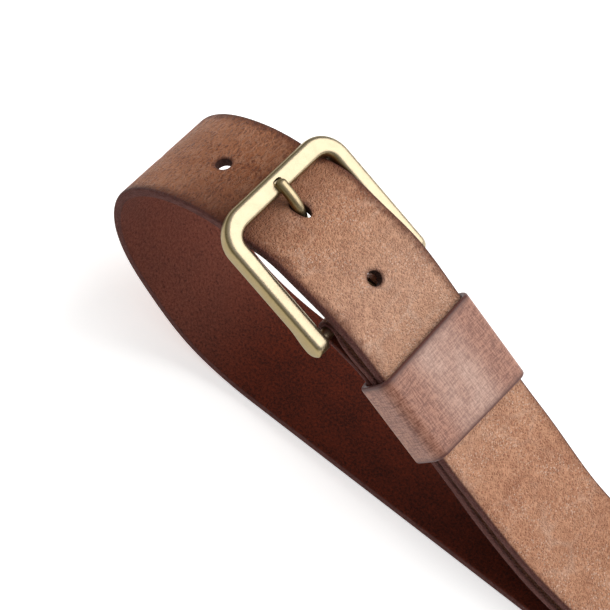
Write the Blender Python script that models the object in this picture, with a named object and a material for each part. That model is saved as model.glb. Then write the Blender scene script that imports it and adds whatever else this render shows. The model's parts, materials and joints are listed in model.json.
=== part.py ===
"""A gentleman's leather belt, buckled, lying on the outer face of its own strap.

+X runs along the belt, +Y across the strap, +Z up. The origin is on the surface that the
belt lies on, under the middle of the belt. The strap is one layer of leather. Its route
runs from the tip, through the keeper, over the heel bar, under the buckle's end bar, round
the left bend, along the floor, round the right bend, and back under the tip to the fold
round the heel bar.
"""
import math

import bmesh
import bpy
import numpy as np
from mathutils import Matrix, Vector

MM = 0.001

# strap
STRAP_WIDTH = 35.0 * MM
STRAP_THICKNESS = 3.0 * MM
EDGE_CHAMFER = 0.5 * MM
TIP_LENGTH = 30.0 * MM            # the rounded point at the strap's free end
HOLE_RADIUS = 2.2 * MM
HOLE_PITCH = 26.8 * MM
HOLES_TOWARDS_TIP = 2             # from the hole in use
HOLES_TOWARDS_LOOP = 2
USED_HOLE_STRETCH = 1.9 * MM      # the prong pulls the hole in use oval
USED_HOLE_LEAN = math.radians(25.0)
SLOT_WIDTH = 5.2 * MM             # prong slot in the fold
SLOT_HALF_LENGTH = 10.0 * MM
FLOOR_SPREAD = 0.15 * MM          # the strap spreads a little where it lies flat
FLOOR_SECTIONS = 12

# skived (thinned) end that folds round the heel bar
SKIVE_START = 24.0 * MM           # before the middle of the fold
SKIVE_FULL = 6.0 * MM
FOLD_THICKNESS = 2.0 * MM
END_THICKNESS = 1.6 * MM

# buckle, in its own plane: x from the heel bar's axis, negative towards the end bar
HEEL_AXIS = Vector((-135.8, 0.0, 60.2)) * MM
BUCKLE_TILT = math.radians(25.1)
BAR_RADIUS = 1.75 * MM
FRAME_LENGTH = 41.8 * MM          # heel bar's axis to the end bar's outer edge
FRAME_HALF_WIDTH = 24.3 * MM
FRAME_CORNER = 9.5 * MM
LEG_WIDTH = 5.0 * MM
END_BAR_WIDTH = 6.0 * MM
LEG_THICKNESS = 5.2 * MM
END_BAR_THICKNESS = 4.0 * MM
FRAME_TOP = 3.4 * MM              # top face above the heel bar's axis
FRAME_BEVEL = 0.9 * MM
LUG_RADIUS = 3.1 * MM
NOTCH_DEPTH = 1.1 * MM
PRONG_RADIUS = 1.65 * MM
EYE_INNER = 2.05 * MM
EYE_OUTER = 3.55 * MM
EYE_WIDTH = 3.8 * MM

# the straight slope that the keeper sits on
SLOPE_START = Vector((-125.5, 0.0, 61.0)) * MM
SLOPE_ANGLE = math.radians(32.7)
LAYER_STEP = 3.6 * MM             # middle of the tip strap to middle of the layer below
TURN_BACK_STEP = 6.3 * MM         # middle of the tip strap to middle of the turned-back end
TURN_BACK_END = 23.0 * MM         # along the slope

# keeper
KEEPER_START = 10.0 * MM          # along the slope
KEEPER_LENGTH = 27.5 * MM
KEEPER_SKEW = math.radians(3.3)   # the loose loop sits slightly askew
KEEPER_WALL = 1.8 * MM
KEEPER_HALF_WIDTH = 20.0 * MM
KEEPER_TOP = 3.65 * MM            # outer face above the tip strap's middle
KEEPER_BOTTOM = -9.4 * MM
KEEPER_CORNER = 2.8 * MM

# stitches
THREAD_RADIUS = 0.35 * MM
THREAD_HOLE = 0.65 * MM
STITCH_LENGTH = 5.2 * MM
STITCH_HOLES = 6
STITCH_ROWS = {"fold_thread_front": 12.0 * MM, "fold_thread_rear": 19.0 * MM}
THREAD_SINK = 0.2 * MM            # the thread's middle under the leather's face
GROOVE_WIDTH = 1.4 * MM
GROOVE_PROUD = 0.3 * MM           # how far the groove's cutter stands out of the face

# route of the strap's middle, (x, z) in millimetres
TIP_RUN = [(-13.5, 11.4), (-29.5, 14.0), (-46.0, 17.7), (-56.1, 21.0), (-65.9, 25.1)]
LEFT_BEND = [(-138.8, 68.4), (-149.0, 72.1), (-155.0, 73.8), (-160.0, 74.3), (-165.0, 73.6),
             (-170.2, 72.5), (-175.5, 72.1), (-180.7, 71.4), (-190.9, 68.1), (-199.8, 62.4),
             (-206.3, 54.1), (-208.7, 43.8), (-206.8, 33.3), (-201.3, 24.3), (-193.8, 16.8),
             (-185.4, 10.2), (-176.0, 5.3), (-165.7, 2.6), (-153.5, 1.5)]
RIGHT_BEND = [(152.5, 1.5), (163.5, 2.5), (174.5, 5.0), (184.5, 9.4), (193.5, 15.5),
              (201.5, 23.5), (207.0, 33.0), (208.5, 43.5), (205.5, 53.5), (198.5, 61.0),
              (188.5, 65.3), (177.0, 66.0), (165.5, 63.0), (154.5, 57.5), (142.5, 50.3),
              (128.5, 41.6), (114.5, 33.2), (100.5, 25.2), (86.5, 18.2), (72.5, 12.3),
              (58.5, 8.2), (44.5, 5.9), (30.5, 5.1), (16.5, 5.1), (2.5, 5.9), (-14.0, 7.6),
              (-30.3, 9.7), (-47.3, 12.6), (-57.8, 16.2), (-67.8, 20.7), (-77.2, 25.3)]

STRETCH = 1.0 + USED_HOLE_STRETCH / (2 * HOLE_RADIUS)
ROUTE_STEP = 0.25 * MM
SECTION_ERROR = 0.04 * MM

COLLECTION = "leather_belt"
COLOURS = {
    "strap": ((0.40, 0.19, 0.12), 0.55, 0.0),
    "keeper": ((0.46, 0.25, 0.18), 0.55, 0.0),
    "keeper_thread": ((0.35, 0.20, 0.12), 0.8, 0.0),
    "buckle_frame": ((0.72, 0.63, 0.40), 0.32, 1.0),
    "prong": ((0.66, 0.57, 0.34), 0.32, 1.0),
    "fold_thread_front": ((0.35, 0.20, 0.12), 0.8, 0.0),
    "fold_thread_rear": ((0.35, 0.20, 0.12), 0.8, 0.0),
}


# ---------------------------------------------------------------- scene and meshes

def clear_scene():
    for obj in list(bpy.data.objects):
        bpy.data.objects.remove(obj, do_unlink=True)


def collection(name):
    group = bpy.data.collections.new(name)
    bpy.context.scene.collection.children.link(group)
    return group


def material(name):
    colour, roughness, metallic = COLOURS[name]
    mat = bpy.data.materials.new(name)
    mat.use_nodes = True
    shader = mat.node_tree.nodes["Principled BSDF"]
    shader.inputs["Base Color"].default_value = (*colour, 1.0)
    shader.inputs["Roughness"].default_value = roughness
    shader.inputs["Metallic"].default_value = metallic
    return mat


def mesh_object(name, mesh, group):
    obj = bpy.data.objects.new(name, mesh)
    group.objects.link(obj)
    return obj


def part(name, mesh):
    """A piece of the belt, with its material, shaded smooth but for its edges."""
    obj = mesh_object(name, mesh, PARTS)
    mesh.materials.clear()
    mesh.materials.append(material(name))
    mesh.shade_smooth()
    mesh.set_sharp_from_angle(angle=math.radians(35.0))
    return obj


def cutter(name, mesh):
    obj = mesh_object(name, mesh, CUTTERS)
    obj.hide_render = True
    obj.display_type = 'WIRE'
    return obj


def boolean(target, tool, operation):
    modifier = target.modifiers.new(operation.lower(), 'BOOLEAN')
    modifier.object = tool
    modifier.operation = operation
    modifier.solver = 'EXACT'


def loft(name, rings, close_path=False):
    """A closed mesh through rings of points, each ring with the same number of points."""
    bm = bmesh.new()
    rows = [[bm.verts.new(point) for point in ring] for ring in rings]
    pairs = list(zip(rows, rows[1:]))
    if close_path:
        pairs.append((rows[-1], rows[0]))
    else:
        bm.faces.new(rows[0])
        bm.faces.new(reversed(rows[-1]))
    for row, following in pairs:
        for i in range(len(row)):
            j = (i + 1) % len(row)
            bm.faces.new((row[j], row[i], following[i], following[j]))
    bmesh.ops.recalc_face_normals(bm, faces=bm.faces)
    mesh = bpy.data.meshes.new(name)
    bm.to_mesh(mesh)
    bm.free()
    return mesh


def cylinder(name, radius, length, matrix, sides=20):
    bm = bmesh.new()
    bmesh.ops.create_cone(bm, cap_ends=True, segments=sides, radius1=radius, radius2=radius,
                          depth=length, matrix=matrix)
    mesh = bpy.data.meshes.new(name)
    bm.to_mesh(mesh)
    bm.free()
    return mesh


def box(name, size, matrix):
    bm = bmesh.new()
    bmesh.ops.create_cube(bm, size=1.0, matrix=matrix @ Matrix.Diagonal((*size, 1.0)))
    mesh = bpy.data.meshes.new(name)
    bm.to_mesh(mesh)
    bm.free()
    return mesh


def joined(name, meshes):
    """Separate closed meshes as one mesh."""
    bm = bmesh.new()
    for mesh in meshes:
        bm.from_mesh(mesh)
    whole = bpy.data.meshes.new(name)
    bm.to_mesh(whole)
    bm.free()
    return whole


def tube_mesh(name, points, radius, radii=None, resolution=2):
    """A round tube through the points, as a mesh with welded caps."""
    curve = bpy.data.curves.new(name, 'CURVE')
    curve.dimensions = '3D'
    curve.bevel_depth = radius
    curve.bevel_resolution = resolution
    curve.use_fill_caps = True
    spline = curve.splines.new('POLY')
    spline.points.add(len(points) - 1)
    for i, point in enumerate(points):
        spline.points[i].co = (*point, 1.0)
        spline.points[i].radius = radii[i] if radii else 1.0
    return curve_to_mesh(name, curve)


def curve_to_mesh(name, curve):
    guide = mesh_object(name + "_curve", curve, CUTTERS)
    evaluated = guide.evaluated_get(bpy.context.evaluated_depsgraph_get())
    mesh = bpy.data.meshes.new_from_object(evaluated)
    bpy.data.objects.remove(guide, do_unlink=True)
    bm = bmesh.new()
    bm.from_mesh(mesh)
    bmesh.ops.remove_doubles(bm, verts=bm.verts, dist=0.00002)
    bmesh.ops.recalc_face_normals(bm, faces=bm.faces)
    bm.to_mesh(mesh)
    bm.free()
    return mesh


# ---------------------------------------------------------------- route of the strap

def on_slope(along, above):
    """The (x, z) of a point on the keeper's slope, above the tip strap's middle."""
    x = SLOPE_START.x + along * math.cos(SLOPE_ANGLE) + above * math.sin(SLOPE_ANGLE)
    z = SLOPE_START.z - along * math.sin(SLOPE_ANGLE) + above * math.cos(SLOPE_ANGLE)
    return x, z


def spline_slopes(points, gaps, start, end):
    """Slopes of a cubic spline at its points. An end with no direction is left free."""
    count = len(points)
    matrix = np.zeros((count, count))
    right = np.zeros((count, 2))
    for i in range(1, count - 1):
        before, after = gaps[i - 1], gaps[i]
        matrix[i, i - 1:i + 2] = (1 / before, 2 / before + 2 / after, 1 / after)
        right[i] = 3 * ((points[i] - points[i - 1]) / before ** 2
                        + (points[i + 1] - points[i]) / after ** 2)
    matrix[0, :2] = (1, 0) if start else (2, 1)
    right[0] = start if start else 3 * (points[1] - points[0]) / gaps[0]
    matrix[-1, -2:] = (0, 1) if end else (1, 2)
    right[-1] = end if end else 3 * (points[-1] - points[-2]) / gaps[-1]
    return np.linalg.solve(matrix, right)


def smooth(points, start=None, end=None):
    """Points of a cubic spline through the given points, ROUTE_STEP apart."""
    points = np.array(points)
    gaps = np.linalg.norm(np.diff(points, axis=0), axis=1)
    slopes = spline_slopes(points, gaps, start, end)
    line = [points[0]]
    for i, gap in enumerate(gaps):
        steps = max(2, round(gap / ROUTE_STEP))
        for u in np.arange(1, steps + 1) / steps:
            line.append((1 + 2 * u) * (1 - u) ** 2 * points[i]
                        + u * (1 - u) ** 2 * gap * slopes[i]
                        + u ** 2 * (3 - 2 * u) * points[i + 1]
                        + u ** 2 * (u - 1) * gap * slopes[i + 1])
    return line


def fold_points():
    """The fold's middle line round the heel bar, from above the bar to below it."""
    radius = BAR_RADIUS + 0.35 * MM + FOLD_THICKNESS / 2
    points = []
    for angle in (0, 45, 90, 135, 180):
        turn = math.radians(90 + angle) - SLOPE_ANGLE
        points.append((HEEL_AXIS.x + radius * math.cos(turn),
                       HEEL_AXIS.z + radius * math.sin(turn)))
    return points


def route():
    """The strap's middle line: (distance from the tip, points, distance of the fold)."""
    tip = [(x * MM, z * MM) for x, z in TIP_RUN]
    tip += [on_slope(58.8 * MM, 0.7 * MM)]
    tip += [on_slope(along * MM, 0.0) for along in (48.0, 28.0, 8.0)]
    tip += [on_slope(-4.7 * MM, 0.2 * MM)]
    tip += [(x * MM, z * MM) for x, z in LEFT_BEND]
    back = [(x * MM, z * MM) for x, z in RIGHT_BEND]
    back += [on_slope(51.0 * MM, -LAYER_STEP - 0.3 * MM)]
    back += [on_slope(along * MM, -LAYER_STEP) for along in (39.0, 31.0, 23.0, 15.0, 8.5)]
    back += [on_slope(along * MM, above * MM)
             for along, above in ((5.2, -3.8), (2.5, -4.35), (0.0, -4.7), (-4.3, -4.7))]
    fold = fold_points()
    ahead = len(back) + len(fold) // 2
    back += fold
    back += [on_slope(along * MM, above * MM)
             for along, above in ((-5.6, -8.9), (-3.0, -8.3), (0.0, -7.7), (4.0, -6.85))]
    back += [on_slope(8.5 * MM, -TURN_BACK_STEP), on_slope(15.0 * MM, -TURN_BACK_STEP),
             on_slope(TURN_BACK_END, -TURN_BACK_STEP)]
    line = np.array(smooth(tip, end=(1.0, 0.0)) + smooth(back, start=(1.0, 0.0)))
    lengths = np.linalg.norm(np.diff(line, axis=0), axis=1)
    distance = np.concatenate(([0.0], np.cumsum(lengths)))
    return distance, line, nearest_distance(distance, line, back[ahead])


def nearest_distance(distance, line, point, beyond=0.0):
    """How far along the line its nearest place to a point lies."""
    gaps = np.linalg.norm(line - np.array(point), axis=1)
    gaps[distance < beyond] = np.inf
    return distance[int(np.argmin(gaps))]


class Route:
    """The strap's middle line, read by distance from the tip."""

    def __init__(self):
        self.distance, self.line, self.fold = route()
        self.length = self.distance[-1]
        floor = [np.array(point) * MM for point in (LEFT_BEND[-1], RIGHT_BEND[0])]
        self.floor_start, self.floor_end = (nearest_distance(self.distance, self.line, point)
                                            for point in floor)

    def at(self, distance):
        x = np.interp(distance, self.distance, self.line[:, 0])
        z = np.interp(distance, self.distance, self.line[:, 1])
        return Vector((x, 0.0, z))

    def tangent(self, distance):
        reach = 2 * ROUTE_STEP
        low = max(0.0, distance - reach)
        high = min(self.length, distance + reach)
        return (self.at(high) - self.at(low)).normalized()

    def frame(self, distance):
        """Matrix of a place on the strap: x along it, y across, z out of its outer face."""
        along = self.tangent(distance)
        out = Vector((along.z, 0.0, -along.x))
        across = out.cross(along)
        turn = Matrix((along, across, out)).transposed().to_4x4()
        return Matrix.Translation(self.at(distance)) @ turn

    def sections(self, start, end):
        """Distances whose straight joins keep within SECTION_ERROR of the line."""
        inside = (self.distance > start) & (self.distance < end)
        places = np.concatenate(([start], self.distance[inside], [end]))
        points = np.array([self.at(place).xz for place in places])
        kept = [0]
        ahead = 2
        while ahead < len(points):
            chord = points[ahead] - points[kept[-1]]
            offsets = points[kept[-1] + 1:ahead] - points[kept[-1]]
            away = np.abs(offsets[:, 0] * chord[1] - offsets[:, 1] * chord[0])
            if away.max() > SECTION_ERROR * np.linalg.norm(chord):
                kept.append(ahead - 1)
            ahead += 1
        return [float(places[i]) for i in kept] + [end]


def thickness(distance):
    """The strap's thickness, skived towards and past the fold."""
    knots = (ROUTE.fold - SKIVE_START, ROUTE.fold - SKIVE_FULL, ROUTE.fold + SKIVE_FULL,
             ROUTE.length)
    values = (STRAP_THICKNESS, FOLD_THICKNESS, FOLD_THICKNESS, END_THICKNESS)
    return float(np.interp(distance, knots, values))


def half_width(distance):
    """Half the strap's width: full, rounded at the tip, and spread where it lies flat."""
    share = min(1.0, distance / TIP_LENGTH)
    flat = (distance - ROUTE.floor_start) / (ROUTE.floor_end - ROUTE.floor_start)
    spread = FLOOR_SPREAD * max(0.0, 4 * flat * (1 - flat))
    return max(1.5 * MM, STRAP_WIDTH / 2 * (share * (2 - share)) ** 0.6) + spread


def section_ring(distance, half, thick, chamfer):
    """Eight corners of the strap's section, in space."""
    flat = half - chamfer
    side = thick / 2 - chamfer
    corners = ((flat, thick / 2), (-flat, thick / 2), (-half, side), (-half, -side),
               (-flat, -thick / 2), (flat, -thick / 2), (half, -side), (half, side))
    place = ROUTE.frame(distance)
    return [place @ Vector((0.0, across, out)) for across, out in corners]


# ---------------------------------------------------------------- strap

def used_hole():
    """Distance from the tip of the hole that the prong goes through."""
    hole = (HEEL_AXIS.x - 24.9 * MM, HEEL_AXIS.z + 14.0 * MM)
    return nearest_distance(ROUTE.distance, ROUTE.line, hole)


def hole_cutter():
    """The five belt holes as one cutter. The hole in use is pulled oval."""
    meshes = []
    middle = used_hole()
    for i in range(-HOLES_TOWARDS_TIP, HOLES_TOWARDS_LOOP + 1):
        place = ROUTE.frame(middle + i * HOLE_PITCH)
        if i == 0:
            lean = Matrix.Shear('XY', 4, (math.tan(USED_HOLE_LEAN), 0.0))
            place = place @ lean @ Matrix.Diagonal((STRETCH, 1.0, 1.0, 1.0))
        meshes.append(cylinder("belt_hole", HOLE_RADIUS, 3 * STRAP_THICKNESS, place))
    return cutter("belt_holes", joined("belt_holes", meshes))


def slot_cutter():
    """The prong slot, a thin ribbon that follows the fold and only cuts its own layer."""
    start = ROUTE.fold - SLOT_HALF_LENGTH
    end = ROUTE.fold + SLOT_HALF_LENGTH
    rings = []
    for distance in ROUTE.sections(start, end):
        thick = thickness(distance) + 0.3 * MM
        rings.append(section_ring(distance, SLOT_WIDTH / 2, thick, 0.1 * MM))
    return cutter("prong_slot", loft("prong_slot", rings))


def slope_matrix(along, above):
    """Matrix of a place on the keeper's slope: x down the slope, z out of the strap."""
    x, z = on_slope(along, above)
    return Matrix.Translation((x, 0.0, z)) @ Matrix.Rotation(SLOPE_ANGLE, 4, 'Y')


def stitch_faces(along):
    """Heights of the two leather faces that a row of stitches joins."""
    place = Vector((*on_slope(along, -LAYER_STEP), 0.0)).xy
    upper = nearest_distance(ROUTE.distance, ROUTE.line, place, ROUTE.length / 2)
    place = Vector((*on_slope(along, -TURN_BACK_STEP), 0.0)).xy
    lower = nearest_distance(ROUTE.distance, ROUTE.line, place, ROUTE.fold)
    top = -LAYER_STEP + thickness(upper) / 2
    bottom = -TURN_BACK_STEP - thickness(lower) / 2
    return top, bottom


def stitch_places():
    half = STITCH_LENGTH * (STITCH_HOLES - 1) / 2
    return [i * STITCH_LENGTH - half for i in range(STITCH_HOLES)]


def stitch_cutter(name, along):
    """A groove in each face, joined by the holes between them, for one row of stitches."""
    top, bottom = stitch_faces(along)
    depth = THREAD_SINK + THREAD_RADIUS + 0.2 * MM
    length = STITCH_LENGTH * (STITCH_HOLES - 1) + 2.4 * MM
    size = (GROOVE_WIDTH, length, depth + GROOVE_PROUD)
    inset = (depth - GROOVE_PROUD) / 2
    grooves = [box("groove", size, slope_matrix(along, height))
               for height in (top - inset, bottom + inset)]
    holes = []
    for across in stitch_places():
        place = slope_matrix(along, (top + bottom) / 2) @ Matrix.Translation((0, across, 0))
        holes.append(cylinder("stitch_hole", THREAD_HOLE, top - bottom - depth, place, 8))
    row = cutter(name + "_grooves", joined(name + "_grooves", grooves))
    boolean(row, cutter(name + "_holes", joined(name + "_holes", holes)), 'UNION')
    return row


def make_strap():
    distances = [TIP_LENGTH * share for share in (0.0, 0.02, 0.06, 0.13, 0.24, 0.4, 0.65)]
    floor = np.linspace(ROUTE.floor_start, ROUTE.floor_end, FLOOR_SECTIONS)
    stops = [TIP_LENGTH, *floor, ROUTE.length]
    for start, end in zip(stops, stops[1:]):
        distances += ROUTE.sections(start, end)[:-1]
    distances.append(ROUTE.length)
    rings = []
    for distance in distances:
        rings.append(section_ring(distance, half_width(distance), thickness(distance),
                                  EDGE_CHAMFER))
    strap = part("strap", loft("strap", rings))
    boolean(strap, hole_cutter(), 'DIFFERENCE')
    boolean(strap, slot_cutter(), 'DIFFERENCE')
    for name, along in STITCH_ROWS.items():
        boolean(strap, stitch_cutter(name, along), 'DIFFERENCE')


def make_fold_threads():
    """Each row is one running thread, up and down through both layers."""
    for name, along in STITCH_ROWS.items():
        top, bottom = stitch_faces(along)
        heights = (top - THREAD_SINK, bottom + THREAD_SINK)
        places = stitch_places()
        points = []
        for i, (left, right) in enumerate(zip(places, places[1:])):
            height = heights[i % 2]
            for across in (left, right):
                points.append(slope_matrix(along, height) @ Vector((0.0, across, 0.0)))
        part(name, tube_mesh(name, points, THREAD_RADIUS))


# ---------------------------------------------------------------- buckle

def buckle_matrix():
    """The heel bar's axis: x away from the end bar, z out of the buckle's top face."""
    return Matrix.Translation(HEEL_AXIS) @ Matrix.Rotation(BUCKLE_TILT, 4, 'Y')


def frame_path():
    """Places on the U, heel to heel: outer point, inward way, width and thickness."""
    corner_x = -FRAME_LENGTH + FRAME_CORNER
    corner_y = FRAME_HALF_WIDTH - FRAME_CORNER
    stations = [((0.0, -FRAME_HALF_WIDTH), (0.0, 1.0), LEG_WIDTH, LEG_THICKNESS)]
    for side, angles in ((-1, range(0, 91, 15)), (1, range(90, -1, -15))):
        for angle in angles:
            turn = math.radians(angle)
            inward = Vector((math.sin(turn), -side * math.cos(turn)))
            outer = Vector((corner_x, side * corner_y)) - FRAME_CORNER * inward
            share = math.sin(turn) ** 2
            width = LEG_WIDTH + (END_BAR_WIDTH - LEG_WIDTH) * share
            thick = LEG_THICKNESS + (END_BAR_THICKNESS - LEG_THICKNESS) * share
            stations.append((outer, inward, width, thick))
    stations.append(((0.0, FRAME_HALF_WIDTH), (0.0, -1.0), LEG_WIDTH, LEG_THICKNESS))
    return stations


def make_buckle_frame():
    """A U-shaped flat bar with bevelled edges, two heel lugs and the heel bar, in one."""
    high = FRAME_TOP
    rings = []
    for outer, inward, width, thick in frame_path():
        low = high - thick
        outer = Vector(outer)
        inward = Vector(inward)
        ring = []
        for depth, height in ((FRAME_BEVEL, high), (0, high - FRAME_BEVEL),
                              (0, low + FRAME_BEVEL), (FRAME_BEVEL, low),
                              (width - FRAME_BEVEL, low), (width, low + FRAME_BEVEL),
                              (width, high - FRAME_BEVEL), (width - FRAME_BEVEL, high)):
            point = outer + depth * inward
            ring.append((point.x, point.y, height))
        rings.append(ring)
    frame = part("buckle_frame", loft("buckle_frame", rings))
    frame.matrix_world = buckle_matrix()
    crosswise = Matrix.Rotation(math.pi / 2, 4, 'X')
    for name, side in (("near_lug", -1), ("far_lug", 1)):
        across = side * (FRAME_HALF_WIDTH - LEG_WIDTH / 2)
        place = Matrix.Translation((0.0, across, 0.0)) @ crosswise
        lug = cutter(name, cylinder(name, LUG_RADIUS, LEG_WIDTH - 0.4 * MM, place, 24))
        lug.matrix_world = buckle_matrix()
        boolean(frame, lug, 'UNION')
    length = 2 * FRAME_HALF_WIDTH - LEG_WIDTH
    bar = cutter("heel_bar", cylinder("heel_bar", BAR_RADIUS, length, crosswise, 24))
    bar.matrix_world = buckle_matrix()
    boolean(frame, bar, 'UNION')
    lengthwise = Matrix.Rotation(math.pi / 2, 4, 'Y')
    radius = PRONG_RADIUS + 0.15 * MM
    place = Matrix.Translation((-FRAME_LENGTH + 5.0 * MM, 0.0, high - NOTCH_DEPTH + radius))
    notch = cutter("prong_notch", cylinder("prong_notch", radius, 6.0 * MM,
                                           place @ lengthwise, 20))
    notch.matrix_world = buckle_matrix()
    boolean(frame, notch, 'DIFFERENCE')
    return frame


def prong_points():
    """The prong's middle line, from its eye to its tip, smoothed."""
    rest = FRAME_TOP - NOTCH_DEPTH + PRONG_RADIUS + 0.15 * MM
    knots = [(-2.7 * MM, -0.3 * MM), (-8.0 * MM, -0.6 * MM), (-15.0 * MM, -0.9 * MM),
             (-22.3 * MM, -1.1 * MM), (-26.2 * MM, 0.2 * MM), (-29.6 * MM, 2.6 * MM),
             (-32.8 * MM, rest - 0.3 * MM), (-36.0 * MM, rest), (-39.3 * MM, rest)]
    line = smooth(knots)
    every = round(1.2 * MM / ROUTE_STEP)
    kept = line[:-every:every] + [line[-1]]
    return [Vector((x, 0.0, z)) for x, z in kept]


def make_prong():
    """A round tongue, run into an eye that turns on the heel bar."""
    points = prong_points()
    radii = [1.0] * (len(points) - 1) + [0.55]
    prong = part("prong", tube_mesh("prong", points, PRONG_RADIUS, radii))
    prong.matrix_world = buckle_matrix()
    crosswise = Matrix.Rotation(math.pi / 2, 4, 'X')
    eye = cutter("prong_eye", cylinder("prong_eye", EYE_OUTER, EYE_WIDTH, crosswise, 24))
    bore = cutter("prong_bore", cylinder("prong_bore", EYE_INNER, 2 * EYE_WIDTH, crosswise, 24))
    eye.matrix_world = buckle_matrix()
    bore.matrix_world = buckle_matrix()
    boolean(prong, eye, 'UNION')
    boolean(prong, bore, 'DIFFERENCE')
    return prong


# ---------------------------------------------------------------- keeper

def rounded_outline(half, low, high, corner, steps=4):
    """Points of a rectangle with round corners, across and up."""
    points = []
    for side_x, side_y, first in ((1, 1, 0), (-1, 1, 90), (-1, -1, 180), (1, -1, 270)):
        centre_x = side_x * (half - corner)
        centre_y = (high - corner) if side_y > 0 else (low + corner)
        for i in range(steps + 1):
            turn = math.radians(first + 90 * i / steps)
            points.append((centre_x + corner * math.cos(turn),
                           centre_y + corner * math.sin(turn)))
    return points


def make_keeper():
    """A loop of flat leather: a 2D ring, extruded along the slope."""
    curve = bpy.data.curves.new("keeper", 'CURVE')
    curve.dimensions = '2D'
    curve.fill_mode = 'BOTH'
    curve.extrude = KEEPER_LENGTH / 2
    outlines = ((KEEPER_HALF_WIDTH, KEEPER_BOTTOM, KEEPER_TOP, KEEPER_CORNER),
                (KEEPER_HALF_WIDTH - KEEPER_WALL, KEEPER_BOTTOM + KEEPER_WALL,
                 KEEPER_TOP - KEEPER_WALL, KEEPER_CORNER - KEEPER_WALL))
    for half, low, high, corner in outlines:
        outline = rounded_outline(half, low, high, corner)
        spline = curve.splines.new('POLY')
        spline.points.add(len(outline) - 1)
        spline.use_cyclic_u = True
        for point, (across, up) in zip(spline.points, outline):
            point.co = (across, up, 0.0, 1.0)
    mesh = curve_to_mesh("keeper", curve)
    mesh.transform(Matrix.Shear('YZ', 4, (0.0, math.tan(KEEPER_SKEW))))
    keeper = part("keeper", mesh)
    upright = Matrix(((0, 0, 1, 0), (1, 0, 0, 0), (0, 1, 0, 0), (0, 0, 0, 1)))
    keeper.matrix_world = slope_matrix(KEEPER_START + KEEPER_LENGTH / 2, 0.0) @ upright
    return keeper


def make_keeper_thread():
    """The seam thread, laid to and fro over the loop's joined ends, under the keeper."""
    low = KEEPER_BOTTOM - THREAD_RADIUS - 0.1 * MM
    passes = 7
    points = []
    for i in range(passes):
        along = KEEPER_START + KEEPER_LENGTH * (i + 1) / (passes + 1)
        across = 2.2 * MM if i % 2 else -2.2 * MM
        points.append(slope_matrix(along, low) @ Vector((0.0, across, 0.0)))
    part("keeper_thread", tube_mesh("keeper_thread", points, THREAD_RADIUS))


clear_scene()
PARTS = collection(COLLECTION)
CUTTERS = collection("cutters")
ROUTE = Route()
make_strap()
make_fold_threads()
make_buckle_frame()
make_prong()
make_keeper()
make_keeper_thread()
bpy.context.view_layer.update()
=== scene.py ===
"""The belt's looks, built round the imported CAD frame.

Soft pieces are modelled flat and then bent along the strap's route, so that leather grain,
holes and stitching follow the leather. "flat" is a mesh attribute that keeps each point's
place on the flat leather, in metres: along, across, and out of the grain face.
"""
import json
import math

import bmesh
import bpy
import numpy as np
from mathutils import Matrix, Vector, noise


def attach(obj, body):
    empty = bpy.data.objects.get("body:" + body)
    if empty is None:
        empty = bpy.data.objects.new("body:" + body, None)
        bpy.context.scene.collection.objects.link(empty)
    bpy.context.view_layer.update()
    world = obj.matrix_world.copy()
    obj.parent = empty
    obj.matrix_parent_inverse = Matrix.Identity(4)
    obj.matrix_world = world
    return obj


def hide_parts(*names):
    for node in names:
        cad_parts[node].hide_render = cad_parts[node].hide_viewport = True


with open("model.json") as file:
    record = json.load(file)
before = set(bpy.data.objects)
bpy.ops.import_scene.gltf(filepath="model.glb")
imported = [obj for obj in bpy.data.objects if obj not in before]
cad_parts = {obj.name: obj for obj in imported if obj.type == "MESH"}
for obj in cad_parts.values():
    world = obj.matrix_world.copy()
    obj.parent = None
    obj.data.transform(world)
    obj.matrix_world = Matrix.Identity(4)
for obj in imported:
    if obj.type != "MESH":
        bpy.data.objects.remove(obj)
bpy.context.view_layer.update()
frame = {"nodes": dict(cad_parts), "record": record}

MM = 0.001
JOINTS = {joint["name"]: joint for joint in frame["record"]["behaviour"]["joints"]}

# strap, as in the CAD but for the hole in use and the fold
STRAP_WIDTH = 35.0 * MM
STRAP_THICKNESS = 3.0 * MM
TIP_LENGTH = 30.0 * MM
HOLE_RADIUS = 2.2 * MM
HOLE_PITCH = 26.8 * MM
HOLES_EACH_WAY = 2
USED_HOLE_RADIUS = 1.8 * MM       # across the strap
USED_HOLE_HALF_LENGTH = 3.3 * MM  # along it, where the prong has drawn it longer
USED_HOLE_SHIFT = -0.25 * MM      # towards the heel bar
USED_HOLE_LEAN = math.radians(25.0)
SLOT_WIDTH = 5.2 * MM
SLOT_HALF_LENGTH = 10.0 * MM
SKIVE_START = 24.0 * MM           # before the middle of the fold
SKIVE_FULL = 6.0 * MM
FOLD_THICKNESS = 1.4 * MM         # thinner than the CAD's, to lie snug round the bar
FOLD_GAP = 0.12 * MM
END_THICKNESS = 1.6 * MM
EDGE_ROUND = 0.75 * MM

# how the real strap lies a little off the CAD's straight one
SLOPE_SWAY = 0.9 * MM             # towards the far side, between buckle and tip
FAR_WIDENING = 1.40 * MM          # far edge, in the buckle and round the left bend
NEAR_WIDENING = 0.55 * MM         # near edge, in the buckle only
FAR_LIFT = 1.5 * MM               # far edge raised off the slope
BEND_BULGE = 0.6 * MM             # left bend pushed outwards

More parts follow.
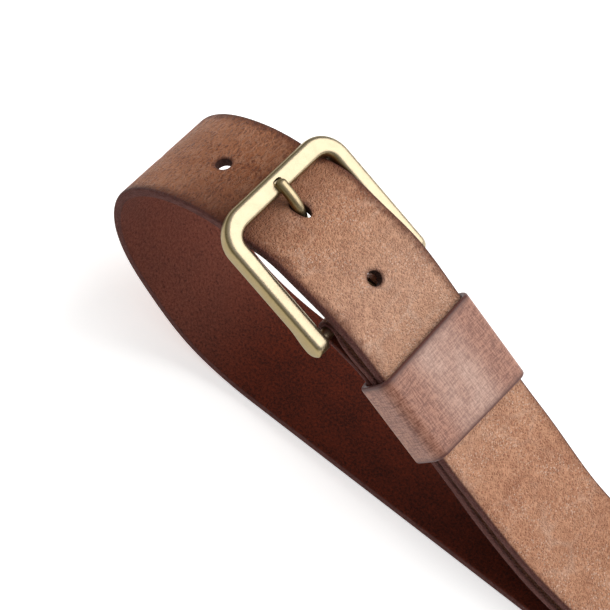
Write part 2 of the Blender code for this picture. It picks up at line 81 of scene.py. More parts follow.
# buckle, each size within 0.3 mm of the CAD's
HEEL_AXIS = Vector(JOINTS["buckle_hinge"]["pos_m"])
BUCKLE_TILT = math.radians(25.1)
BAR_RADIUS = 1.75 * MM
FRAME_LENGTH = 41.8 * MM
FRAME_HALF_WIDTH = 24.6 * MM
FRAME_CORNER = 9.5 * MM
LEG_WIDTH = 5.3 * MM
END_BAR_WIDTH = 6.0 * MM
LEG_THICKNESS = 5.2 * MM
END_BAR_THICKNESS = 4.0 * MM
FRAME_TOP = 3.4 * MM
LUG_RADIUS = 3.2 * MM
NOTCH_DEPTH = 1.1 * MM
PRONG_RADIUS = 1.65 * MM
EYE_INNER = 2.05 * MM
EYE_OUTER = 3.5 * MM
EYE_WIDTH = 3.8 * MM

# slope and keeper, as in the CAD but for the keeper's rounder corners and how it sits
SLOPE_START = Vector((-125.5, 0.0, 61.0)) * MM
SLOPE_ANGLE = math.radians(32.7)
LAYER_STEP = 3.6 * MM
TURN_BACK_STEP = 6.3 * MM
TURN_BACK_END = 23.0 * MM
KEEPER_START = 10.0 * MM
KEEPER_LENGTH = 27.5 * MM
KEEPER_SKEW = math.radians(3.3)
KEEPER_WALL = 1.8 * MM
KEEPER_HALF_WIDTH = 20.0 * MM
KEEPER_TOP = 3.65 * MM
KEEPER_BOTTOM = -9.4 * MM
KEEPER_CORNER = 3.9 * MM
SEAM_HALF_GAP = 0.05 * MM
KEEPER_SHIFT = 1.3 * MM           # towards the far side, as the strap sways
KEEPER_ASKEW = ((1.5 * MM, -2.0 * MM), (1.0 * MM, -0.25 * MM))  # (near, far), each rim

# stitches, as in the CAD but for a slightly finer hole and a round groove
STITCH_LENGTH = 5.2 * MM
STITCH_HOLES = 6
STITCH_ROWS = (12.0 * MM, 19.0 * MM)
THREAD_HOLE = 0.6 * MM
GROOVE_HALF_WIDTH = 0.72 * MM
GROOVE_DEPTH = 0.75 * MM
GROOVE_OVERRUN = 1.2 * MM         # past the last hole

# route of the strap's middle, (x, z) in millimetres, as in the CAD
TIP_RUN = [(-13.5, 11.4), (-29.5, 14.0), (-46.0, 17.7), (-56.1, 21.0), (-65.9, 25.1)]
LEFT_BEND = [(-138.8, 68.4), (-149.0, 72.1), (-155.0, 73.8), (-160.0, 74.3), (-165.0, 73.6),
             (-170.2, 72.5), (-175.5, 72.1), (-180.7, 71.4), (-190.9, 68.1), (-199.8, 62.4),
             (-206.3, 54.1), (-208.7, 43.8), (-206.8, 33.3), (-201.3, 24.3), (-193.8, 16.8),
             (-185.4, 10.2), (-176.0, 5.3), (-165.7, 2.6), (-153.5, 1.5)]
RIGHT_BEND = [(152.5, 1.5), (163.5, 2.5), (174.5, 5.0), (184.5, 9.4), (193.5, 15.5),
              (201.5, 23.5), (207.0, 33.0), (208.5, 43.5), (205.5, 53.5), (198.5, 61.0),
              (188.5, 65.3), (177.0, 66.0), (165.5, 63.0), (154.5, 57.5), (142.5, 50.3),
              (128.5, 41.6), (114.5, 33.2), (100.5, 25.2), (86.5, 18.2), (72.5, 12.3),
              (58.5, 8.2), (44.5, 5.9), (30.5, 5.1), (16.5, 5.1), (2.5, 5.9), (-14.0, 7.6),
              (-30.3, 9.7), (-47.3, 12.6), (-57.8, 16.2), (-67.8, 20.7), (-77.2, 25.3)]
# the same where it lies along the keeper's slope: (along, above the tip strap's middle),
# lower than the CAD's route on the way into the fold
TIP_ON_SLOPE = [(58.8, 0.7), (48.0, 0.0), (28.0, 0.0), (8.0, 0.0), (-4.7, 0.2)]
SECOND_LAYER = (39.0, 31.0, 23.0, 15.0, 10.5)
TOWARDS_FOLD = [(8.2, -3.75), (5.2, -4.3), (2.5, -4.8), (0.0, -4.9), (-4.3, -4.5)]
OUT_OF_FOLD = [(-5.6, -8.9), (-3.0, -8.3), (0.0, -7.7), (4.0, -6.85)]
TURNED_BACK = (8.5, 15.0)
ROUTE_STEP = 0.25 * MM


# ------------------------ route

def on_slope(along, above):
    """The (x, z) of a point on the keeper's slope, above the tip strap's middle."""
    x = SLOPE_START.x + along * math.cos(SLOPE_ANGLE) + above * math.sin(SLOPE_ANGLE)
    z = SLOPE_START.z - along * math.sin(SLOPE_ANGLE) + above * math.cos(SLOPE_ANGLE)
    return x, z


def slope_points(places):
    """Points of the slope from (along, above) in millimetres."""
    return [on_slope(along * MM, above * MM) for along, above in places]


def in_metres(points):
    return [(x * MM, z * MM) for x, z in points]


def spline_slopes(points, gaps, start, end):
    """Slopes of a cubic spline at its points. An end with no direction is left free."""
    count = len(points)
    matrix = np.zeros((count, count))
    right = np.zeros((count, 2))
    for i in range(1, count - 1):
        before, after = gaps[i - 1], gaps[i]
        matrix[i, i - 1:i + 2] = (1 / before, 2 / before + 2 / after, 1 / after)
        right[i] = 3 * ((points[i] - points[i - 1]) / before ** 2
                        + (points[i + 1] - points[i]) / after ** 2)
    matrix[0, :2] = (1, 0) if start else (2, 1)
    right[0] = start if start else 3 * (points[1] - points[0]) / gaps[0]
    matrix[-1, -2:] = (0, 1) if end else (1, 2)
    right[-1] = end if end else 3 * (points[-1] - points[-2]) / gaps[-1]
    return np.linalg.solve(matrix, right)


def smooth(points, start=None, end=None):
    """Points of a cubic spline through the given points, ROUTE_STEP apart."""
    points = np.array(points)
    gaps = np.linalg.norm(np.diff(points, axis=0), axis=1)
    slopes = spline_slopes(points, gaps, start, end)
    line = [points[0]]
    for i, gap in enumerate(gaps):
        steps = max(2, round(gap / ROUTE_STEP))
        for u in np.arange(1, steps + 1) / steps:
            line.append((1 + 2 * u) * (1 - u) ** 2 * points[i]
                        + u * (1 - u) ** 2 * gap * slopes[i]
                        + u ** 2 * (3 - 2 * u) * points[i + 1]
                        + u ** 2 * (u - 1) * gap * slopes[i + 1])
    return np.array(line)


def fold_points():
    """The fold's middle line round the heel bar, from above the bar to below it."""
    radius = BAR_RADIUS + FOLD_GAP + FOLD_THICKNESS / 2
    points = []
    for angle in (0, 45, 90, 135, 180):
        turn = math.radians(90 + angle) - SLOPE_ANGLE
        points.append((HEEL_AXIS.x + radius * math.cos(turn),
                       HEEL_AXIS.z + radius * math.sin(turn)))
    return points


class Route:
    """The strap's middle line, read by distance from the tip."""

    def __init__(self):
        tip = in_metres(TIP_RUN) + slope_points(TIP_ON_SLOPE) + in_metres(LEFT_BEND)
        back = in_metres(RIGHT_BEND)
        back += [on_slope(51.0 * MM, -LAYER_STEP - 0.3 * MM)]
        back += [on_slope(along * MM, -LAYER_STEP) for along in SECOND_LAYER]
        back += slope_points(TOWARDS_FOLD)
        fold = fold_points()
        ahead = back + fold
        middle = ahead[len(back) + len(fold) // 2]
        ahead += slope_points(OUT_OF_FOLD)
        ahead += [on_slope(along * MM, -TURN_BACK_STEP) for along in TURNED_BACK]
        ahead += [on_slope(TURN_BACK_END, -TURN_BACK_STEP)]
        self.line = np.concatenate((smooth(tip, end=(1.0, 0.0)),
                                    smooth(ahead, start=(1.0, 0.0))))
        steps = np.linalg.norm(np.diff(self.line, axis=0), axis=1)
        self.distance = np.concatenate(([0.0], np.cumsum(steps)))
        self.length = self.distance[-1]
        self.fold = self.nearest(middle)

    def nearest(self, point, beyond=0.0):
        """How far along the line its nearest place to a point lies."""
        gaps = np.linalg.norm(self.line - np.array(point), axis=1)
        gaps[self.distance < beyond] = np.inf
        return self.distance[int(np.argmin(gaps))]

    def read(self, distance):
        return np.stack([np.interp(distance, self.distance, self.line[:, i])
                         for i in (0, 1)], -1)

    def bend(self, flat):
        """Places in space of points on the flat leather (along, across, out)."""
        reach = 2 * ROUTE_STEP
        along = flat[:, 0]
        low = self.read(np.clip(along - reach, 0.0, self.length))
        high = self.read(np.clip(along + reach, 0.0, self.length))
        way = high - low
        way /= np.linalg.norm(way, axis=1)[:, None]
        middle = self.read(along)
        x = middle[:, 0] + way[:, 1] * flat[:, 2]
        z = middle[:, 1] - way[:, 0] * flat[:, 2]
        return np.stack((x, flat[:, 1], z), -1)

    def rows(self, start, end, error, longest):
        """Distances whose straight joins keep within an error of the line."""
        inside = (self.distance > start) & (self.distance < end)
        places = np.concatenate(([start], self.distance[inside], [end]))
        points = self.read(places)
        kept = [0]
        for ahead in range(2, len(points)):
            first = points[kept[-1]]
            chord = points[ahead] - first
            offsets = points[kept[-1] + 1:ahead] - first
            away = np.abs(offsets[:, 0] * chord[1] - offsets[:, 1] * chord[0]).max()
            far = places[ahead] - places[kept[-1]] > longest
            if far or away > error * np.linalg.norm(chord):
                kept.append(ahead - 1)
        return [float(places[i]) for i in kept] + [end]


ROUTE = Route()
USED_HOLE = ROUTE.nearest((HEEL_AXIS.x - 24.9 * MM, HEEL_AXIS.z + 14.0 * MM))


def thickness(distance):
    """The strap's thickness, skived towards and past the fold."""
    knots = (ROUTE.fold - SKIVE_START, ROUTE.fold - SKIVE_FULL, ROUTE.fold + SKIVE_FULL,
             ROUTE.length)
    values = (STRAP_THICKNESS, FOLD_THICKNESS, FOLD_THICKNESS, END_THICKNESS)
    return np.interp(distance, knots, values)


def half_width(distance):
    """Half the strap's width: full, but for the rounded point at the tip."""
    share = np.minimum(1.0, distance / TIP_LENGTH)
    return np.maximum(1.5 * MM, STRAP_WIDTH / 2 * (share * (2 - share)) ** 0.6)


# ------------------------ mesh tools

STRAY_SIZE = 1e-7                 # metres: shorter edges and flatter faces are dropped


def turns(count):
    """Angles spaced evenly round a full turn."""
    return np.linspace(0, 2 * math.pi, count, endpoint=False)


def corner_points(centre_x, centre_y, radius, first, steps):
    """A quarter turn of points, from a first angle in degrees."""
    angles = [math.radians(first + 90 * i / steps) for i in range(steps + 1)]
    return [(centre_x + radius * math.cos(turn), centre_y + radius * math.sin(turn))
            for turn in angles]


def new_object(name, data):
    obj = bpy.data.objects.new(name, data)
    bpy.context.scene.collection.objects.link(obj)
    return obj


def loft(name, rings, around=False):
    """A closed mesh through rings of points; around joins the last ring to the first."""
    rings = np.array(rings)
    count, sides = rings.shape[:2]
    faces = []
    for i in range(count if around else count - 1):
        following = (i + 1) % count
        for j in range(sides):
            k = (j + 1) % sides
            faces.append((i * sides + k, i * sides + j, following * sides + j,
                          following * sides + k))
    if not around:
        faces.append(tuple(range(sides)))
        faces.append(tuple(range((count - 1) * sides, count * sides))[::-1])
    mesh = bpy.data.meshes.new(name)
    mesh.from_pydata([tuple(point) for point in rings.reshape(-1, 3)], [], faces)
    bm = bmesh.new()
    bm.from_mesh(mesh)
    bmesh.ops.recalc_face_normals(bm, faces=bm.faces)
    bm.to_mesh(mesh)
    bm.free()
    return mesh


def solid(name, rings, around=False):
    return new_object(name, loft(name, rings, around))


def coordinates(mesh):
    flat = np.zeros(len(mesh.vertices) * 3)
    mesh.vertices.foreach_get("co", flat)
    return flat.reshape(-1, 3)


def set_coordinates(mesh, points):
    mesh.vertices.foreach_set("co", points.astype(np.float32).ravel())
    mesh.update()


def set_attribute(mesh, name, values):
    attribute = mesh.attributes.new(name, 'FLOAT_VECTOR', 'POINT')
    attribute.data.foreach_set("vector", values.astype(np.float32).ravel())


def combine(obj, tools, operation):
    """Applies exact Booleans with the tools, and removes them."""
    for tool in tools:
        modifier = obj.modifiers.new("cut", 'BOOLEAN')
        modifier.object = tool
        modifier.operation = operation
        modifier.solver = 'EXACT'
    evaluated = obj.evaluated_get(bpy.context.evaluated_depsgraph_get())
    mesh = bpy.data.meshes.new_from_object(evaluated)
    obj.modifiers.clear()
    obj.data = mesh
    for tool in tools:
        bpy.data.objects.remove(tool, do_unlink=True)


def drop_strays(mesh):
    """Dissolves the degenerate scraps a Boolean leaves: edges shorter and faces flatter than
    STRAY_SIZE.
    """
    bm = bmesh.new()
    bm.from_mesh(mesh)
    bmesh.ops.dissolve_degenerate(bm, dist=STRAY_SIZE, edges=bm.edges)
    bm.to_mesh(mesh)
    bm.free()


def shade(obj, angle):
    obj.data.shade_smooth()
    obj.data.set_sharp_from_angle(angle=math.radians(angle))


def finish_piece(obj, material, body, slot, *nodes):
    obj.data.materials.clear()
    obj.data.materials.append(material)
    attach(obj, body)
    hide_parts(*nodes)


def tube_rings(points, radii, sides, flatten=1.0):
    """Round rings along a line of points, turned as little as possible."""
    points = [Vector(point) for point in points]
    rings = []
    side = None
    for i, point in enumerate(points):
        way = (points[min(i + 1, len(points) - 1)] - points[max(i - 1, 0)]).normalized()
        if side is None:
            side = way.cross(Vector((0.0, 0.0, 1.0)))
            if side.length < 0.1:
                side = way.cross(Vector((0.0, 1.0, 0.0)))
        side = (side - side.dot(way) * way).normalized()
        up = way.cross(side)
        ring = []
        for j in range(sides):
            turn = 2 * math.pi * j / sides
            ring.append(point + radii[i] * (math.cos(turn) * side
                                            + flatten * math.sin(turn) * up))
        rings.append(ring)
    return rings


# ------------------------ node tools

class Shader:
    """A material's node tree, with short calls for the nodes used here."""

    def __init__(self, name):
        self.material = bpy.data.materials.new(name)
        self.material.use_nodes = True
        self.tree = self.material.node_tree
        self.bsdf = self.tree.nodes["Principled BSDF"]

    def node(self, kind, inputs=(), **settings):
        made = self.tree.nodes.new("ShaderNode" + kind)
        for key, value in settings.items():
            setattr(made, key, value)
        for key, value in dict(inputs).items():
            self.put(made.inputs[key], value)
        return made

    def put(self, socket, value):
        if isinstance(value, bpy.types.NodeSocket):
            self.tree.links.new(value, socket)
        elif socket.type == 'RGBA' and len(value) == 3:
            socket.default_value = (*value, 1.0)
        else:
            socket.default_value = value

    def attribute(self, name):
        return self.node("Attribute", attribute_name=name).outputs["Vector"]

    def math(self, operation, first, second=0.0):
        return self.node("Math", {0: first, 1: second}, operation=operation).outputs[0]

    def stretch(self, vector, scale):
        scale = scale if hasattr(scale, "__len__") else (scale,) * 3
        return self.node("VectorMath", {0: vector, 1: scale}, operation='MULTIPLY').outputs[0]

    def times(self, first, second):
        return self.math('MULTIPLY', first, second)

    def plus(self, first, second):
        return self.math('ADD', first, second)

    def shift(self, vector, amount):
        return self.node("VectorMath", {0: vector, 1: amount}, operation='ADD').outputs[0]

    def split(self, vector):
        return self.node("SeparateXYZ", {0: vector}).outputs

    def noise(self, vector, scale, detail=2.0, roughness=0.5, distortion=0.0):
        return self.node("TexNoise", {"Vector": vector, "Scale": scale, "Detail": detail,
                                      "Roughness": roughness,
                                      "Distortion": distortion}).outputs[0]

    def noise_vector(self, vector, scale, detail=2.0):
        return self.node("TexNoise", {"Vector": vector, "Scale": scale,
                                      "Detail": detail}).outputs[1]

    def voronoi(self, vector, feature='F1'):
        return self.node("TexVoronoi", {"Vector": vector, "Scale": 1.0},
                         feature=feature).outputs["Distance"]

    def remap(self, value, low, high, to_low=0.0, to_high=1.0, kind='LINEAR'):
        return self.node("MapRange", {"Value": value, "From Min": low, "From Max": high,
                                      "To Min": to_low, "To Max": to_high},
                         interpolation_type=kind).outputs[0]

    def ease(self, value, low, high, to_low=0.0, to_high=1.0):
        """A remap with soft ends."""
        return self.remap(value, low, high, to_low, to_high, 'SMOOTHSTEP')

    def mix(self, factor, first, second):
        """A colour between two colours."""
        made = self.node("Mix", data_type='RGBA')
        for index, value in ((0, factor), (6, first), (7, second)):
            self.put(made.inputs[index], value)
        return made.outputs[2]

    def blend(self, factor, first, second):
        """A number between two numbers."""
        made = self.node("Mix", data_type='FLOAT')
        for index, value in ((0, factor), (2, first), (3, second)):
            self.put(made.inputs[index], value)
        return made.outputs[0]

    def bumps(self, heights):
        """Bump nodes in a chain: (height, depth in metres, strength)."""
        normal = None
        for height, depth, strength in heights:
            inputs = {"Height": height, "Distance": depth, "Strength": strength}
            if normal:
                inputs["Normal"] = normal
            normal = self.node("Bump", inputs).outputs[0]
        self.put(self.bsdf.inputs["Normal"], normal)

    def set(self, **inputs):
        for key, value in inputs.items():
            self.put(self.bsdf.inputs[key.replace("_", " ")], value)


# ------------------------ materials

GRAIN_LIGHT = (0.60, 0.305, 0.182)
GRAIN_MID = (0.43, 0.188, 0.104)
GRAIN_DARK = (0.235, 0.078, 0.040)
# pale tint for fat wrinkles, and for the painted sheen and painted glints on the grain
GRAIN_PALE = (0.72, 0.50, 0.39)
BEND_DARK = (0.105, 0.0235, 0.0085)
BEND_MID = (0.280, 0.085, 0.031)
BEND_LIGHT = (0.480, 0.180, 0.074)
EDGE_COLOUR = (0.082, 0.021, 0.015)
EDGE_PALE = (0.145, 0.050, 0.040)
FLESH_LIGHT = (0.158, 0.0225, 0.0065)
FLESH_DARK = (0.040, 0.0052, 0.0015)
# painted light: the flesh side inside the left bend, paler where light reaches it
FLESH_LIT = (0.220, 0.072, 0.048)
HOLE_COLOUR = (0.050, 0.016, 0.010)
KEEPER_DARK = (0.180, 0.060, 0.036)
KEEPER_LIGHT = (0.400, 0.190, 0.128)
# painted sheen: paler, greyer colours along the keeper's top middle
KEEPER_SHEEN_DARK = (0.40, 0.25, 0.20)
KEEPER_SHEEN_LIGHT = (0.60, 0.42, 0.35)
KEEPER_RIM = (0.12, 0.042, 0.028)
# patina and painted shade on brass faces turned away from the buckle's top
PATINA_AND_SHADE = (0.30, 0.228, 0.105)
FRAME_BRASS = (0.475, 0.397, 0.273)
PRONG_BRASS = (0.43, 0.345, 0.215)
THREAD_DARK = (0.13, 0.065, 0.038)
THREAD_LIGHT = (0.36, 0.21, 0.125)
THREAD_FUZZ = (0.45, 0.30, 0.2)

# zones of the grain, in millimetres from the tip: (where one starts to show, where it is full)
BEND_FROM, BEND_TO = (160.0, 182.0), (345.0, 310.0)
# painted shade where the strap runs under the buckle's end bar
END_BAR_SHADE_FROM, END_BAR_SHADE_TO = (150.0, 172.0), (205.0, 180.0)
# painted sheen on the strap where it lies along the keeper's slope
SLOPE_SHEEN_FROM, SLOPE_SHEEN_TO = (75.0, 95.0), (155.0, 135.0)
TIP_BROWN = (80.0, 60.0)
BUCKLE_BROWN = (138.0, 160.0)
WRINKLES_TO = (172.0, 155.0)
# painted glints: pale flecks on the grain, up to the buckle
GLINTS_TO = (168.0, 150.0)
DEEP_RIM = (92.0, 135.0)
# painted light on the flesh side inside the left bend
LIT_FLESH_FROM, LIT_FLESH_TO = (205.0, 230.0), (300.0, 262.0)


def grain_pattern(sh, mm, cell, depth=1.0):
    """Pale ridges round small pits, at a given scale: (tone 0 dark to 1 light, height)."""
    warped = sh.shift(sh.stretch(mm, cell), sh.stretch(sh.noise_vector(mm, 0.7), 1.3))
    ridge = sh.remap(sh.voronoi(warped, 'DISTANCE_TO_EDGE'), 0.32, 0.0)
    fine = sh.noise(mm, 2.8, 3.0, 0.65)
    patches = sh.noise(mm, 0.40, 3.0, 0.6)
    mottle = sh.noise(mm, 0.12, 3.0, 0.6)
    strength = sh.remap(mottle, 0.3, 0.65, 0.14 * depth, 0.40 * depth)
    tone = sh.plus(sh.times(sh.math('SUBTRACT', ridge, 0.45), strength), sh.times(fine, 0.50))
    tone = sh.plus(tone, sh.times(patches, 0.24))
    tone = sh.plus(tone, sh.times(mottle, 0.30))
    tone = sh.remap(tone, 0.31, 0.62)
    height = sh.plus(sh.times(ridge, 0.7), sh.times(fine, 0.6))
    return tone, height


def strap_leather():
    """Pull-up grain, burnished edges and a suede-like flesh side, by place on the leather.

    rel is (share of the half width, share of the half thickness, metres to the edge).
    """
    sh = Shader("strap_leather")
    rel = sh.split(sh.attribute("rel"))
    mm = sh.stretch(sh.attribute("flat"), 1000.0)
    place = sh.split(mm)
    tone, pebbles = grain_pattern(sh, mm, (1.25, 1.05, 1.0), 0.75)

    # the left bend: darker, with the grain drawn out across the strap
    bend_zone = sh.times(sh.ease(place[0], *BEND_FROM), sh.ease(place[0], *BEND_TO))
    bend_tone, bend_pebbles = grain_pattern(sh, mm, (1.0, 0.50, 1.0))
    tone = sh.blend(bend_zone, tone, sh.remap(bend_tone, 0.30, 0.72))
    creases = sh.noise(sh.stretch(mm, (1.1, 0.22, 1.0)), 1.0, 4.0, 0.7, 0.6)
    tone = sh.blend(sh.times(bend_zone, 0.3), tone, sh.remap(creases, 0.40, 0.62))
    warp = sh.stretch(sh.noise_vector(mm, 0.7), (0.9, 1.6, 0.0))
    net = sh.voronoi(sh.shift(sh.stretch(mm, (0.75, 0.30, 0.5)), warp), 'DISTANCE_TO_EDGE')
    ridges = sh.times(sh.remap(net, 0.16, 0.0), sh.remap(sh.noise(mm, 0.17, 2.0), 0.34, 0.58))

    colour = sh.mix(sh.remap(tone, 0.0, 0.5), GRAIN_DARK, GRAIN_MID)
    colour = sh.mix(sh.remap(tone, 0.5, 1.0), colour, GRAIN_LIGHT)
    bent_colour = sh.mix(sh.remap(tone, 0.0, 0.5), BEND_DARK, BEND_MID)
    bent_colour = sh.mix(sh.remap(tone, 0.5, 1.0), bent_colour, BEND_LIGHT)
    bent_colour = sh.mix(sh.times(ridges, 0.65), bent_colour, GRAIN_LIGHT)
    colour = sh.mix(bend_zone, colour, bent_colour)
    clouds = sh.noise(sh.stretch(mm, (0.035, 0.06, 0.05)), 1.0, 3.0, 0.55)
    colour = sh.mix(sh.remap(clouds, 0.40, 0.70, 0.0, 0.28), colour, GRAIN_LIGHT)
    # painted sheen: a paler, greyer tint where the strap lies along the keeper's slope
    slope_sheen = sh.times(sh.remap(place[0], *SLOPE_SHEEN_FROM, 0.0, 0.20),
                           sh.remap(place[0], *SLOPE_SHEEN_TO))
    colour = sh.mix(slope_sheen, colour, GRAIN_PALE)
    colour = sh.mix(sh.remap(place[0], *TIP_BROWN, 0.0, 0.12), colour, GRAIN_MID)
    colour = sh.mix(sh.remap(place[0], *BUCKLE_BROWN, 0.0, 0.12), colour, BEND_MID)
    pebbles = sh.blend(bend_zone, pebbles, bend_pebbles)

    # painted shade: darker leather under the buckle's end bar, stronger towards the near edge
    end_bar_shade = sh.times(sh.ease(place[0], *END_BAR_SHADE_FROM), sh.ease(place[0], *END_BAR_SHADE_TO))
    end_bar_shade = sh.times(end_bar_shade, sh.remap(place[1], 6.0, -16.0, 0.25, 0.75))
    colour = sh.mix(end_bar_shade, colour, BEND_DARK)

    # pale fat wrinkles, and pale flecks that are painted glints
    bent = sh.shift(sh.stretch(mm, (0.16, 0.085, 0.1)), sh.noise_vector(mm, 0.09, 3.0))
    wrinkle = sh.remap(sh.voronoi(bent, 'DISTANCE_TO_EDGE'), 0.13, 0.0)
    where = sh.times(sh.remap(sh.noise(mm, 0.07, 2.0), 0.46, 0.66),
                     sh.remap(place[0], *WRINKLES_TO))
    wrinkle = sh.times(wrinkle, where)
    painted_glints = sh.remap(sh.voronoi(sh.stretch(mm, (1.5, 1.0, 1.0))), 0.40, 0.16)
    painted_glints = sh.times(painted_glints, sh.remap(sh.noise(mm, 0.11, 3.0), 0.42, 0.56))
    painted_glints = sh.times(painted_glints, sh.remap(place[0], *GLINTS_TO))
    pale = sh.math('MAXIMUM', sh.times(wrinkle, 0.34), sh.times(painted_glints, 0.75))
    colour = sh.mix(pale, colour, GRAIN_PALE)

    # darker, rubbed band along both edges of the grain face
    ragged = sh.plus(rel[2], sh.remap(sh.noise(mm, 0.5, 3.0), 0.3, 0.7, -0.0008, 0.0008))
    rim = sh.ease(ragged, 0.0036, 0.0006)
    rim_depth = sh.remap(place[0], *DEEP_RIM, 0.28, 0.78)
    colour = sh.mix(sh.times(rim, rim_depth), colour, BEND_DARK)
    line = sh.ease(rel[2], 0.0010, 0.0002)
    colour = sh.mix(line, colour, EDGE_COLOUR)

    # darker rings round the holes
    middle, pitch = USED_HOLE * 1000, HOLE_PITCH * 1000
    near_hole = sh.math('SUBTRACT', place[0], middle - pitch / 2)
    wrapped = sh.math('SUBTRACT', sh.math('FLOORED_MODULO', near_hole, pitch), pitch / 2)
    ring = sh.math('SQRT', sh.plus(sh.times(wrapped, wrapped), sh.times(place[1], place[1])))
    from_middle = sh.math('ABSOLUTE', sh.math('SUBTRACT', place[0], middle))
    in_row = sh.math('LESS_THAN', from_middle, (HOLES_EACH_WAY + 0.5) * pitch)
    rim_dark = sh.times(in_row, sh.ease(ring, 3.4, 2.4))
    colour = sh.mix(sh.times(rim_dark, 0.6), colour, EDGE_COLOUR)

    # flesh side, with painted light: paler inside the left bend, where light reaches it
    nap = sh.noise(mm, 1.3, 4.0, 0.75, 0.4)
    nap_patches = sh.noise(sh.stretch(mm, (0.09, 0.13, 0.1)), 1.0, 3.0, 0.6)
    flesh_tone = sh.plus(sh.times(nap, 0.8), sh.times(nap_patches, 0.2))
    flesh = sh.mix(sh.remap(flesh_tone, 0.40, 0.62), FLESH_DARK, FLESH_LIGHT)
    wear_and_lit_flesh = sh.times(sh.ease(place[0], *LIT_FLESH_FROM), sh.ease(place[0], *LIT_FLESH_TO))
    wear_and_lit_flesh = sh.times(wear_and_lit_flesh, sh.remap(nap, 0.35, 0.62, 0.2, 0.75))
    flesh = sh.mix(wear_and_lit_flesh, flesh, FLESH_LIT)
    flesh_side = sh.ease(rel[1], -0.72, -0.93)

    # cut edges: burnished, with faint layers
    fibres = sh.noise(sh.stretch(mm, (0.5, 1.0, 3.4)), 1.0, 4.0, 0.6)
    edge = sh.mix(sh.remap(fibres, 0.35, 0.68), EDGE_COLOUR, EDGE_PALE)
    inside = sh.times(sh.ease(rel[1], 0.93, 0.70), sh.math('SUBTRACT', 1.0, flesh_side))
    outer_edge = sh.math('GREATER_THAN', 0.0012, rel[2])
    side = sh.mix(outer_edge, HOLE_COLOUR, edge)

    colour = sh.mix(flesh_side, colour, flesh)
    colour = sh.mix(inside, colour, side)
    sh.set(Base_Color=colour)

    rough = sh.remap(pebbles, 0.3, 1.3, 0.52, 0.66)
    rough = sh.blend(inside, rough, 0.9)
    rough = sh.blend(flesh_side, rough, 0.92)
    sh.set(Roughness=rough)
    sh.bsdf.inputs["Specular IOR Level"].default_value = 0.30
    crease_height = sh.times(bend_zone, creases)
    height = sh.blend(flesh_side, pebbles, nap)
    sh.bumps([(height, 0.00055, 0.9), (sh.times(wrinkle, -1.0), 0.00010, 0.6),
              (crease_height, 0.00035, 0.6), (clouds, 0.0012, 0.35)])
    return sh.material


def keeper_leather():
    """Smoother leather with a fine crossed grain, and a paler, greyer painted sheen along the
    middle of its top.
    """
    sh = Shader("keeper_leather")
    rel = sh.split(sh.attribute("rel"))
    mm = sh.stretch(sh.attribute("flat"), 1000.0)
    place = sh.split(mm)
    ticks_along = sh.noise(sh.stretch(mm, (1.9, 0.28, 1.0)), 1.0, 3.0, 0.65)
    ticks_across = sh.noise(sh.stretch(mm, (0.28, 1.9, 1.0)), 1.0, 3.0, 0.65)
    cross = sh.times(sh.plus(ticks_along, ticks_across), 0.5)
    fine = sh.noise(mm, 2.2, 3.0, 0.6)
    cloud = sh.noise(mm, 0.09, 3.0, 0.55)
    tone = sh.plus(sh.times(cross, 0.75), sh.times(fine, 0.25))
    tone = sh.remap(tone, 0.44, 0.56)
    colour = sh.mix(tone, KEEPER_DARK, KEEPER_LIGHT)
    # painted sheen: paler, greyer leather along the loop's top middle
    middle = sh.times(sh.ease(sh.math('ABSOLUTE', place[1]), 13.0, 3.0),
                      sh.remap(cloud, 0.30, 0.62, 0.45, 1.0))
    colour = sh.mix(sh.times(middle, 0.62), colour,
                    sh.mix(tone, KEEPER_SHEEN_DARK, KEEPER_SHEEN_LIGHT))
    rim = sh.ease(rel[2], 0.0030, 0.0003)
    colour = sh.mix(sh.times(rim, 0.65), colour, KEEPER_RIM)
    line = sh.ease(rel[2], 0.0013, 0.0003)
    colour = sh.mix(line, colour, EDGE_COLOUR)
    flesh = sh.mix(sh.remap(sh.noise(mm, 0.9, 4.0, 0.7), 0.35, 0.68), FLESH_DARK, FLESH_LIGHT)
    inner = sh.ease(rel[1], -0.70, -0.95)
    side = sh.times(sh.ease(rel[1], 0.93, 0.72), sh.math('SUBTRACT', 1.0, inner))
    colour = sh.mix(inner, colour, flesh)
    colour = sh.mix(side, colour, sh.mix(sh.remap(fine, 0.35, 0.65), EDGE_COLOUR, EDGE_PALE))
    sh.set(Base_Color=colour)
    rough = sh.remap(cross, 0.40, 0.60, 0.40, 0.54)
    sh.set(Roughness=sh.blend(inner, rough, 0.9))
    sh.set(Sheen_Weight=0.05, Sheen_Roughness=0.4, Sheen_Tint=(1.0, 0.92, 0.88))
    sh.bumps([(cross, 0.00016, 0.7), (fine, 0.00006, 0.6), (cloud, 0.0010, 0.3)])
    return sh.material


